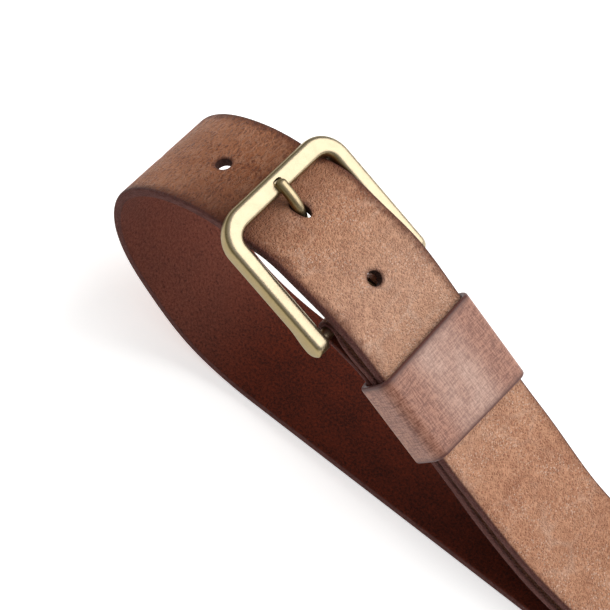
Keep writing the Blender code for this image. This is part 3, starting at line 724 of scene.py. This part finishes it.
def brass(name, bright):
    """Satin antique brass: pale where it is rubbed; olive brown patina, with painted shade, on
    the rounded edges and every face turned away from the buckle's top.
    """
    sh = Shader(name)
    mm = sh.stretch(sh.node("TexCoord").outputs["Object"], 1000.0)
    wear_and_lit_flesh = sh.noise(mm, 0.35, 4.0, 0.6)
    pits = sh.noise(mm, 2.6, 3.0, 0.6)
    scratch = sh.noise(sh.stretch(mm, (0.5, 4.0, 0.5)), 1.0, 3.0, 0.6)
    top = (math.sin(BUCKLE_TILT), 0.0, math.cos(BUCKLE_TILT))
    facing = sh.node("VectorMath", {0: sh.node("NewGeometry").outputs["Normal"], 1: top},
                     operation='DOT_PRODUCT').outputs["Value"]
    # patina and painted shade: darker on every face turned away from the buckle's top
    edge = sh.ease(facing, 0.965, 0.62)
    colour = sh.mix(sh.remap(wear_and_lit_flesh, 0.35, 0.70), tuple(0.90 * c for c in bright), bright)
    patina_and_shade = sh.times(edge, sh.remap(wear_and_lit_flesh, 0.3, 0.7, 0.80, 1.0))
    colour = sh.mix(patina_and_shade, colour, PATINA_AND_SHADE)
    sh.set(Base_Color=colour, Metallic=1.0)
    sh.set(Roughness=sh.remap(pits, 0.35, 0.70, 0.27, 0.38))
    sh.bumps([(pits, 0.00003, 0.6), (scratch, 0.00002, 0.4), (wear_and_lit_flesh, 0.00012, 0.3)])
    return sh.material


def thread_material():
    """Waxed brown linen thread with the twist of its plies."""
    sh = Shader("thread")
    mm = sh.stretch(sh.node("TexCoord").outputs["Object"], 1000.0)
    turns = sh.node("TexWave", {"Vector": mm, "Scale": 1.1, "Distortion": 1.5, "Detail": 2.0},
                    bands_direction='DIAGONAL').outputs[1]
    fuzz = sh.noise(mm, 5.0, 3.0, 0.7)
    colour = sh.mix(turns, THREAD_DARK, THREAD_LIGHT)
    colour = sh.mix(sh.times(fuzz, 0.3), colour, THREAD_FUZZ)
    sh.set(Base_Color=colour)
    sh.set(Roughness=sh.remap(fuzz, 0.3, 0.7, 0.55, 0.8))
    sh.bumps([(turns, 0.00012, 0.8), (fuzz, 0.00004, 0.5)])
    return sh.material


# ------------------------ strap

def edge_profile(half, thick, across=9):
    """The strap's section as (across, out) points, with rounded edges."""
    radius = min(EDGE_ROUND, thick * 0.42)
    flat = half - radius
    points = [(flat * (1 - 2 * i / across), thick / 2) for i in range(across + 1)]
    for side, first in ((-1, 90), (1, 270)):
        for base in (0, 90):
            centre_out = (thick / 2 - radius) * (1 if (first + base) % 360 in (90, 0) else -1)
            points += corner_points(side * flat, centre_out, radius, first + base, 4)[1:]
        if side < 0:
            points += [(-flat + 2 * flat * i / across, -thick / 2)
                       for i in range(1, across + 1)]
    return points[:-1]


def waviness(flat):
    """Small slow unevenness of real leather: offsets out of the grain face and sideways."""
    lift = [noise.noise(Vector((x * 45.0, y * 60.0, 3.0))) for x, y in flat[:, :2]]
    sway = [noise.noise(Vector((x * 28.0, 7.0, 0.0))) for x in flat[:, 0]]
    return np.array(lift) * 0.05 * MM, np.array(sway) * 0.12 * MM


def ramp(value, low, high):
    """Eased step from 0 at low to 1 at high."""
    share = np.clip((value - low) / (high - low), 0.0, 1.0)
    return share * share * (3 - 2 * share)


def far_lift(across):
    """Rise of the strap over the slope, growing towards the far edge."""
    return FAR_LIFT * np.clip((across / STRAP_WIDTH + 0.5), 0.0, 1.1) ** 1.4


def lie(flat, places):
    """Moves bent leather from the CAD's lie to the real strap's slightly uneven one."""
    x, y, z = places.T
    upper = ramp(z, 4 * MM, 12 * MM)
    on_slope_part = ramp(x, -152 * MM, -124 * MM) * ramp(x, -56 * MM, -84 * MM) * upper
    raised = ramp(x, -150 * MM, -130 * MM) * ramp(x, -56 * MM, -82 * MM) * upper
    tip_layer = 1 - ramp(flat[:, 0], 190 * MM, 200 * MM)
    along = flat[:, 0]
    wide = ((0.5 * ramp(along, 30 * MM, 70 * MM) + 0.5 * ramp(along, 125 * MM, 150 * MM))
            * (1 - ramp(along, 300 * MM, 340 * MM)))
    narrow = ramp(along, 112 * MM, 135 * MM) * (1 - ramp(along, 162 * MM, 176 * MM))
    far = np.clip(y / (STRAP_WIDTH / 2), 0.0, 1.0)
    near = np.clip(-y / (STRAP_WIDTH / 2), 0.0, 1.0)
    moved = places.copy()
    moved[:, 1] += SLOPE_SWAY * on_slope_part + FAR_WIDENING * wide * far ** 2
    moved[:, 1] -= NEAR_WIDENING * narrow * near ** 2
    moved[:, 2] += far_lift(y) * raised * tip_layer
    moved[:, 0] -= BEND_BULGE * ramp(x, -188 * MM, -205 * MM)
    return moved


def hole_tool(name, centre, radius, stretch=1.0, lean=0.0):
    """A turned cutter with a flared lip at the grain face."""
    top = STRAP_THICKNESS / 2
    profile = [(-4.0 * MM, radius + 0.08 * MM), (-top + 0.02 * MM, radius + 0.08 * MM),
               (-top + 0.35 * MM, radius), (top - 0.70 * MM, radius),
               (top - 0.36 * MM, radius + 0.05 * MM), (top - 0.13 * MM, radius + 0.19 * MM),
               (top + 0.01 * MM, radius + 0.42 * MM), (top + 0.5 * MM, radius + 0.95 * MM)]
    rings = []
    for height, size in profile:
        shift = height * math.tan(lean)
        rings.append([(centre + stretch * size * math.cos(turn) + shift,
                       size * math.sin(turn), height)
                      for turn in turns(48)])
    return solid(name, rings)


def slot_tool():
    """A long round-ended cutter for the prong's slot."""
    half = SLOT_WIDTH / 2
    ring = []
    for turn in turns(40):
        end = SLOT_HALF_LENGTH - half if math.cos(turn) > 0 else half - SLOT_HALF_LENGTH
        ring.append((ROUTE.fold + end + half * math.cos(turn), half * math.sin(turn)))
    rings = [[(x, y, height) for x, y in ring] for height in (-3 * MM, 3 * MM)]
    return solid("slot_tool", rings)


def stitch_tools():
    """Cutters for the sunk rows of stitches: a groove and awl holes in each layer."""
    tools = []
    row_half = STITCH_LENGTH * (STITCH_HOLES - 1) / 2
    half = row_half + GROOVE_OVERRUN
    for number, along in enumerate(STITCH_ROWS):
        upper = ROUTE.nearest(on_slope(along, -LAYER_STEP), ROUTE.length / 2)
        lower = ROUTE.nearest(on_slope(along, -TURN_BACK_STEP), ROUTE.fold)
        for layer, distance in enumerate((upper, lower)):
            face = float(thickness(distance)) / 2
            rings = []
            for across in np.linspace(-half, half, 9):
                ring = []
                for turn in turns(16):
                    ring.append((distance + GROOVE_HALF_WIDTH * math.cos(turn),
                                 across - SLOPE_SWAY,
                                 face - 0.02 * MM + GROOVE_DEPTH * math.sin(turn)))
                rings.append(ring)
            name = f"groove_{number}_{layer}"
            tools.append(solid(name, rings))
            for i in range(STITCH_HOLES):
                across = i * STITCH_LENGTH - row_half
                rings = [[(distance + THREAD_HOLE * math.cos(turn),
                           across - SLOPE_SWAY + THREAD_HOLE * math.sin(turn), height)
                          for turn in turns(14)]
                         for height in (-3 * MM, face - 0.3 * MM)]
                name = f"awl_{number}_{layer}_{i}"
                tools.append(solid(name, rings))
    return tools


def make_strap():
    distances = [TIP_LENGTH * share ** 1.7 for share in np.linspace(0, 1, 22)]
    distances += ROUTE.rows(TIP_LENGTH, ROUTE.length, 0.008 * MM, 5.0 * MM)[1:]
    rings = []
    for distance in distances:
        half = float(half_width(distance))
        rings.append([(distance, across, out)
                      for across, out in edge_profile(half, float(thickness(distance)))])
    strap = solid("strap_leather", rings)
    tools = []
    for i in range(-HOLES_EACH_WAY, HOLES_EACH_WAY + 1):
        place = USED_HOLE + i * HOLE_PITCH
        if i == 0:
            tools.append(hole_tool("used_hole", place + USED_HOLE_SHIFT, USED_HOLE_RADIUS,
                                   USED_HOLE_HALF_LENGTH / USED_HOLE_RADIUS, USED_HOLE_LEAN))
        else:
            tools.append(hole_tool(f"hole_{i}", place, HOLE_RADIUS))
    tools.append(slot_tool())
    combine(strap, tools + stitch_tools(), 'DIFFERENCE')

    flat = coordinates(strap.data)
    half = half_width(flat[:, 0])
    thick = thickness(flat[:, 0])
    end_gap = np.minimum(flat[:, 0] + 0.3 * MM, ROUTE.length - flat[:, 0])
    edge_gap = np.minimum(half - np.abs(flat[:, 1]), end_gap)
    rel = np.stack((np.abs(flat[:, 1]) / half, flat[:, 2] / (thick / 2), edge_gap), -1)
    set_attribute(strap.data, "flat", flat)
    set_attribute(strap.data, "rel", rel)
    lift, sway = waviness(flat)
    moved = flat.copy()
    moved[:, 1] += sway
    moved[:, 2] += lift
    set_coordinates(strap.data, lie(flat, ROUTE.bend(moved)))
    shade(strap, 40.0)
    finish_piece(strap, strap_leather(), "strap", "strap_leather", "strap")


# ------------------------ buckle

def buckle_matrix():
    return Matrix.Translation(HEEL_AXIS) @ Matrix.Rotation(BUCKLE_TILT, 4, 'Y')


def bar_section(width, low, high, round_top, round_low, steps=5):
    """A flat bar's section as (inward, up) points with rounded corners."""
    corners = ((round_top, high - round_top, 90, round_top),
               (round_low, low + round_low, 180, round_low),
               (width - round_low, low + round_low, 270, round_low),
               (width - round_top, high - round_top, 0, round_top))
    points = []
    for centre_in, centre_up, first, radius in corners:
        points += corner_points(centre_in, centre_up, radius, first, steps)
    return points


def frame_stations():
    """Places on the U, heel to heel: outer point, inward way, width, low and high."""
    corner_x = -FRAME_LENGTH + FRAME_CORNER
    corner_y = FRAME_HALF_WIDTH - FRAME_CORNER
    leg = []
    for turn in np.linspace(90, 8, 9):
        reach = LUG_RADIUS * math.cos(math.radians(turn))
        middle = FRAME_TOP - LUG_RADIUS
        inset = 0.9 * MM * (1 - reach / LUG_RADIUS) ** 1.5
        size = max(reach, 0.25 * MM)
        leg.append((LUG_RADIUS * math.sin(math.radians(turn)), inset,
                    middle - size, middle + size))
    for share in np.linspace(0, 1, 12):
        low = FRAME_TOP - 2 * LUG_RADIUS
        eased = share * share * (3 - 2 * share)
        leg.append((-8.5 * MM * share, 0.0,
                    low + (FRAME_TOP - LEG_THICKNESS - low) * eased, FRAME_TOP))
    for share in np.linspace(0.1, 0.9, 8):
        leg.append((-8.5 * MM + (corner_x + 8.5 * MM) * share, 0.0,
                    FRAME_TOP - LEG_THICKNESS, FRAME_TOP))
    stations = []
    for x, inset, low, high in leg:
        stations.append((Vector((x, -FRAME_HALF_WIDTH + inset)), Vector((0.0, 1.0)),
                         LEG_WIDTH - 2 * inset, low, high))
    for turn in np.radians(np.linspace(0, 90, 19)):
        inward = Vector((math.sin(turn), math.cos(turn)))
        outer = Vector((corner_x, -corner_y)) - FRAME_CORNER * inward
        share = math.sin(turn) ** 2
        width = LEG_WIDTH + (END_BAR_WIDTH - LEG_WIDTH) * share
        thick = LEG_THICKNESS + (END_BAR_THICKNESS - LEG_THICKNESS) * share
        stations.append((outer, inward, width, FRAME_TOP - thick, FRAME_TOP))
    for share in np.linspace(0.08, 0.46, 5):
        outer = Vector((-FRAME_LENGTH, -corner_y + 2 * corner_y * share))
        stations.append((outer, Vector((1.0, 0.0)), END_BAR_WIDTH,
                         FRAME_TOP - END_BAR_THICKNESS, FRAME_TOP))
    mirrored = [(Vector((outer.x, -outer.y)), Vector((inward.x, -inward.y)), width, low, high)
                for outer, inward, width, low, high in reversed(stations)]
    return stations + mirrored


def make_frame():
    rings = []
    for outer, inward, width, low, high in frame_stations():
        tall = high - low
        ring = []
        leg = (END_BAR_WIDTH - width) / (END_BAR_WIDTH - LEG_WIDTH)
        top = (1.5 + 0.2 * min(leg, 1.0)) * MM
        for depth, up in bar_section(width, low, high, min(top, tall * 0.45, width * 0.46),
                                     min(1.5 * MM, tall * 0.45, width * 0.46)):
            point = outer + depth * inward
            ring.append((point.x, point.y, up))
        rings.append(ring)
    buckle = solid("buckle_brass", rings)
    reach = FRAME_HALF_WIDTH - LEG_WIDTH / 2
    bar = [[(BAR_RADIUS * math.cos(turn), across, BAR_RADIUS * math.sin(turn))
            for turn in turns(40)]
           for across in np.linspace(-reach, reach, 13)]
    combine(buckle, [solid("heel_bar", bar)], 'UNION')
    radius = PRONG_RADIUS + 0.16 * MM
    centre = FRAME_TOP - NOTCH_DEPTH + radius
    notch = []
    for x, size in ((-39.9, 0.35), (-39.75, 0.75), (-39.3, 1.0), (-37.0, 1.0), (-34.0, 1.0)):
        notch.append([(x * MM, size * radius * math.cos(turn),
                       centre + size * radius * math.sin(turn))
                      for turn in turns(36)])
    combine(buckle, [solid("notch", notch)], 'DIFFERENCE')
    drop_strays(buckle.data)
    buckle.data.transform(buckle_matrix())
    shade(buckle, 38.0)
    finish_piece(buckle, brass("buckle_brass", FRAME_BRASS), "buckle", "buckle_brass",
                 "buckle_frame")


def make_prong():
    rest = FRAME_TOP - NOTCH_DEPTH + PRONG_RADIUS + 0.15 * MM
    knots = [(-2.7 * MM, -0.3 * MM), (-8.0 * MM, -0.6 * MM), (-15.0 * MM, -0.9 * MM),
             (-22.3 * MM, -1.1 * MM), (-26.2 * MM, 0.2 * MM), (-29.6 * MM, 2.6 * MM),
             (-32.8 * MM, rest - 0.3 * MM), (-36.0 * MM, rest), (-39.3 * MM, rest)]
    line = smooth(knots)
    lengths = np.concatenate(([0.0], np.cumsum(np.linalg.norm(np.diff(line, axis=0), axis=1))))
    blunt = 1.35 * MM
    places = list(np.linspace(0, lengths[-1] - blunt, 60))
    places += [lengths[-1] - blunt + blunt * math.sin(turn)
               for turn in np.radians((15, 30, 45, 60, 75, 88))]
    points, radii = [], []
    for place in places:
        points.append((np.interp(place, lengths, line[:, 0]), 0.0,
                       np.interp(place, lengths, line[:, 1])))
        left = (lengths[-1] - place) / blunt
        radii.append(PRONG_RADIUS * (math.sqrt(max(0.0, 1 - (1 - left) ** 2))
                                     if left < 1 else 1.0))
    prong = solid("prong_brass", tube_rings(points, radii, 28))
    middle = (EYE_INNER + EYE_OUTER) / 2
    wall = (EYE_OUTER - EYE_INNER) / 2
    rings = []
    for turn in turns(56):
        ring = []
        for angle in turns(20):
            power = 0.55
            out = wall * math.copysign(abs(math.cos(angle)) ** power, math.cos(angle))
            across = EYE_WIDTH / 2 * math.copysign(abs(math.sin(angle)) ** power,
                                                   math.sin(angle))
            ring.append(((middle + out) * math.cos(turn), across,
                         (middle + out) * math.sin(turn)))
        rings.append(ring)
    eye = solid("eye", rings, around=True)
    combine(prong, [eye], 'UNION')
    drop_strays(prong.data)
    prong.data.transform(buckle_matrix())
    shade(prong, 45.0)
    finish_piece(prong, brass("prong_brass", PRONG_BRASS), "prong", "prong_brass", "prong")


# ------------------------ keeper and threads

def slope_matrix(along, above):
    x, z = on_slope(along, above)
    return Matrix.Translation((x, 0.0, z)) @ Matrix.Rotation(SLOPE_ANGLE, 4, 'Y')


def keeper_outline(half, low, high, corner_top, corner_low, steps=8):
    """Round-cornered loop outline as (across, up), from the seam underneath and back."""
    points = []
    for side_x, side_y, first in ((1, 1, 0), (-1, 1, 90), (-1, -1, 180), (1, -1, 270)):
        corner = corner_top if side_y > 0 else corner_low
        centre_x = side_x * (half - corner)
        centre_y = (high - corner) if side_y > 0 else (low + corner)
        points += corner_points(centre_x, centre_y, corner, first, steps)
        if side_y > 0 and side_x > 0 or side_y < 0 and side_x < 0:
            edge = high if side_y > 0 else low
            inner = half - corner
            for share in np.linspace(0.1, 0.9, 9):
                points.append((side_x * inner * (1 - 2 * share), edge))
    points = np.array(points)
    seam = int(np.argmin(np.hypot(points[:, 0], points[:, 1] - low)))
    rest = np.roll(points, -seam, axis=0)[1:]
    return np.concatenate(([(SEAM_HALF_GAP, low)], rest, [(-SEAM_HALF_GAP, low)]))


def make_keeper():
    """A flat leather strip closed into a loop, rings taken round the loop."""
    middle = keeper_outline(KEEPER_HALF_WIDTH - KEEPER_WALL / 2,
                            KEEPER_BOTTOM + KEEPER_WALL / 2, KEEPER_TOP - KEEPER_WALL / 2,
                            KEEPER_CORNER - KEEPER_WALL / 2, 2.0 * MM)
    ahead = np.roll(middle, -1, axis=0) - np.roll(middle, 1, axis=0)
    ahead /= np.linalg.norm(ahead, axis=1)[:, None]
    outward = np.stack((ahead[:, 1], -ahead[:, 0]), -1)
    steps = np.linalg.norm(np.diff(middle, axis=0), axis=1)
    around = np.concatenate(([0.0], np.cumsum(steps)))
    strip = edge_profile(KEEPER_LENGTH / 2, KEEPER_WALL, 10)
    rings, flats, rels = [], [], []
    half_long = KEEPER_LENGTH / 2
    for point, out, distance in zip(middle, outward, around):
        swell = 0.25 * MM * max(0.0, 1 - (point[0] / KEEPER_HALF_WIDTH) ** 2)
        swell = swell if point[1] > 0 else 0.0
        above = np.clip((point[1] - KEEPER_BOTTOM) / (KEEPER_TOP - KEEPER_BOTTOM), 0.0, 1.0)
        far = 0.5 + 0.5 * point[0] / KEEPER_HALF_WIDTH
        ring = []
        for along, depth in strip:
            place = point + out * (depth + swell)
            rear = 0.5 + 0.5 * along / half_long
            slip = sum(share * (near + (end - near) * far)
                       for share, (near, end) in zip((1 - rear, rear), KEEPER_ASKEW))
            lift = float(far_lift(place[0] + KEEPER_SHIFT - SLOPE_SWAY)) * above ** 2
            ring.append((along + slip + place[0] * math.tan(KEEPER_SKEW),
                         place[0] + KEEPER_SHIFT, place[1] + lift))
            flats.append((along, distance - around[-1] / 2, depth))
            rels.append((abs(point[0]) / KEEPER_HALF_WIDTH, depth / (KEEPER_WALL / 2),
                         half_long - abs(along)))
        rings.append(ring)
    keeper = solid("keeper_leather", rings, around=True)
    set_attribute(keeper.data, "flat", np.array(flats))
    set_attribute(keeper.data, "rel", np.array(rels))
    keeper.data.transform(slope_matrix(KEEPER_START + KEEPER_LENGTH / 2, 0.0))
    shade(keeper, 50.0)
    finish_piece(keeper, keeper_leather(), "keeper", "keeper_leather", "keeper")


def dress_threads():
    thread = thread_material()
    for name in ("fold_thread_front", "fold_thread_rear", "keeper_thread"):
        obj = frame["nodes"][name]
        obj.data.materials.clear()
        obj.data.materials.append(thread)


# ------------------------ studio

FLOOR_REACH = 12.0
LIGHT_AIM = Vector((-0.10, 0.0, 0.04))
KEY_WAY = (0.49, 0.484, 0.726)
KEY_DISTANCE, KEY_SIZE, KEY_POWER = 1.5, 2.1, 26.0
KEY_COLOUR = (1.0, 0.985, 0.96)
SKY_GREYS = ((0.0, 0.24), (0.20, 0.23), (0.55, 0.38), (0.9, 0.60))    # (height, grey)
CAMERA_PLACE = (-0.01739, -0.2685, 0.50225)
CAMERA_TURN = Vector((2.41222391, 0.8913421, -0.08557712))            # axis times radians
CAMERA_LENS = 114.83
CAMERA_SENSOR = 36.0


def make_floor():
    mesh = bpy.data.meshes.new("floor")
    far = FLOOR_REACH
    mesh.from_pydata([(-far, -far, 0), (far, -far, 0), (far, far, 0), (-far, far, 0)], [],
                     [(0, 1, 2, 3)])
    floor = new_object("floor", mesh)
    sh = Shader("floor")
    sh.set(Base_Color=(0.96, 0.96, 0.96), Roughness=0.9)
    sh.bsdf.inputs["Specular IOR Level"].default_value = 0.1
    sh.set(Emission_Color=(1.0, 1.0, 1.0), Emission_Strength=0.5)
    mesh.materials.append(sh.material)


def make_key_light():
    """A round area light that shines on the buckle's end of the belt."""
    light = bpy.data.lights.new("key", 'AREA')
    light.shape = 'DISK'
    light.size = KEY_SIZE
    light.energy = KEY_POWER
    light.color = KEY_COLOUR
    key = new_object("key", light)
    way = Vector(KEY_WAY).normalized()
    key.location = LIGHT_AIM + way * KEY_DISTANCE
    key.rotation_mode = 'QUATERNION'
    key.rotation_quaternion = way.to_track_quat('Z', 'Y')


def make_world():
    """Pale studio: bright overhead, greyer towards the horizon."""
    world = bpy.data.worlds.new("studio")
    bpy.context.scene.world = world
    world.use_nodes = True
    tree = world.node_tree
    direction = tree.nodes.new("ShaderNodeTexCoord").outputs["Generated"]
    split = tree.nodes.new("ShaderNodeSeparateXYZ")
    tree.links.new(direction, split.inputs[0])
    colours = tree.nodes.new("ShaderNodeValToRGB")
    elements = colours.color_ramp.elements
    elements[0].position = SKY_GREYS[0][0]
    elements[1].position = SKY_GREYS[-1][0]
    for position, _ in SKY_GREYS[1:-1]:
        elements.new(position)
    for element, (_, grey) in zip(elements, SKY_GREYS):
        element.color = (grey, grey, grey, 1.0)
    tree.links.new(split.outputs[2], colours.inputs[0])
    background = tree.nodes["Background"]
    tree.links.new(colours.outputs[0], background.inputs["Color"])
    background.inputs["Strength"].default_value = 1.0


def make_camera():
    """A camera above the belt's near side, looking down on the buckle and the keeper."""
    data = bpy.data.cameras.new("camera")
    data.lens = CAMERA_LENS
    data.sensor_width = CAMERA_SENSOR
    data.clip_start = 0.02
    data.clip_end = 50.0
    camera = new_object("camera", data)
    rows = Matrix.Rotation(CAMERA_TURN.length, 3, CAMERA_TURN.normalized())
    axes = Matrix((rows[0], -rows[1], -rows[2])).transposed()
    camera.matrix_world = Matrix.Translation(CAMERA_PLACE) @ axes.to_4x4()
    bpy.context.scene.camera = camera


make_strap()
make_frame()
make_prong()
make_keeper()
dress_threads()
make_floor()
make_world()
make_key_light()
make_camera()
bpy.context.scene.view_settings.view_transform = 'Standard'

bpy.context.view_layer.update()
